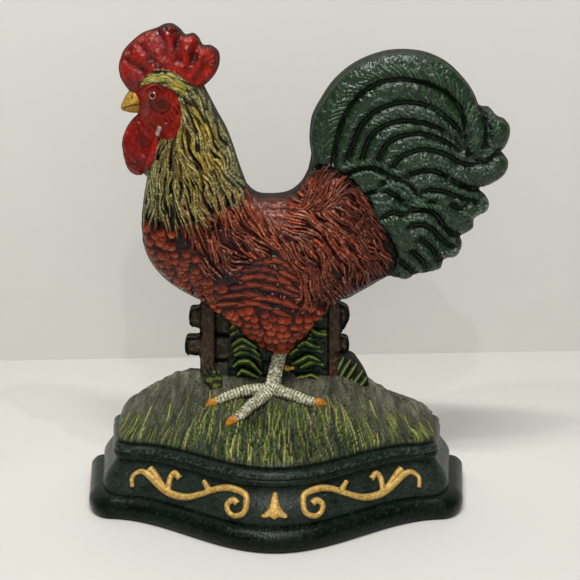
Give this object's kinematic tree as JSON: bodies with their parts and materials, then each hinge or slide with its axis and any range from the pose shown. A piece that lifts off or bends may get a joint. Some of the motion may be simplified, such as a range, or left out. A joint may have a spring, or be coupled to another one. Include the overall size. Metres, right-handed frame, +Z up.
{
  "type": "doorstop",
  "caption": "Painted cast iron doorstop: a rooster in front relief on a grassy mound over a bow-fronted moulded base.",
  "frame": {"origin": "middle of the bounding box at the table, under the base", "axes": "+Z up the figure's height, +Y from the bow front to the flat back, +X to the viewer's right"},
  "size_m": [0.211, 0.0844, 0.2357],
  "materials": {
    "base_green": "very dark green gloss enamel over sand-cast iron, speckled where the casting's grain shows",
    "gilt": "hand-brushed gold paint on raised scrolls, darker in the hollows",
    "mound_green": "grey-green wash with dark hollows and dry-brushed yellow-green blades",
    "tuft_green": "dark green enamel with yellow-green ridges",
    "fence_brown": "thin grey-brown wash over dark iron",
    "leg_grey": "off-white to olive-grey paint with dark joints between the scales",
    "claw_orange": "orange-ochre gloss paint",
    "feather_red": "orange-red enamel on the feathers over dark brown hollows",
    "hackle_olive": "yellow-olive enamel on the hackles over black hollows",
    "comb_red": "glossy deep red enamel with small speckled highlights",
    "face_red": "glossy red enamel with a darker cheek",
    "beak_ochre": "ochre enamel with a black nostril and mouth line",
    "eye_black": "black pupil in a pale painted ring",
    "tail_green": "very dark green gloss enamel with dry-brushed barbs"
  },
  "bodies": {
    "root": {"plinth": "base_green", "apron": "base_green", "bead": "base_green", "scroll_left": "gilt", "scroll_right": "gilt", "centre_motif": "gilt", "grass_mound": "mound_green", "grass_tuft_left": "tuft_green", "grass_tuft_right": "tuft_green", "grass_leaves_left": "tuft_green", "grass_leaves_right": "tuft_green", "fence_left": "fence_brown", "fence_right": "fence_brown", "leg_and_foot": "leg_grey", "claw_left": "claw_orange", "claw_middle": "claw_orange", "claw_right": "claw_orange", "spur": "claw_orange", "breast": "feather_red", "thigh": "feather_red", "wing": "feather_red", "saddle": "feather_red", "hackle": "hackle_olive", "face": "face_red", "ear_lobe": "face_red", "eye": "eye_black", "beak": "beak_ochre", "comb": "comb_red", "wattle": "comb_red", "tail_sickle": "tail_green", "tail_tips": "tail_green", "tail_inner_plumes": "tail_green", "tail_middle_plumes": "tail_green", "tail_lower_plumes": "tail_green"}
  },
  "joints": []
}
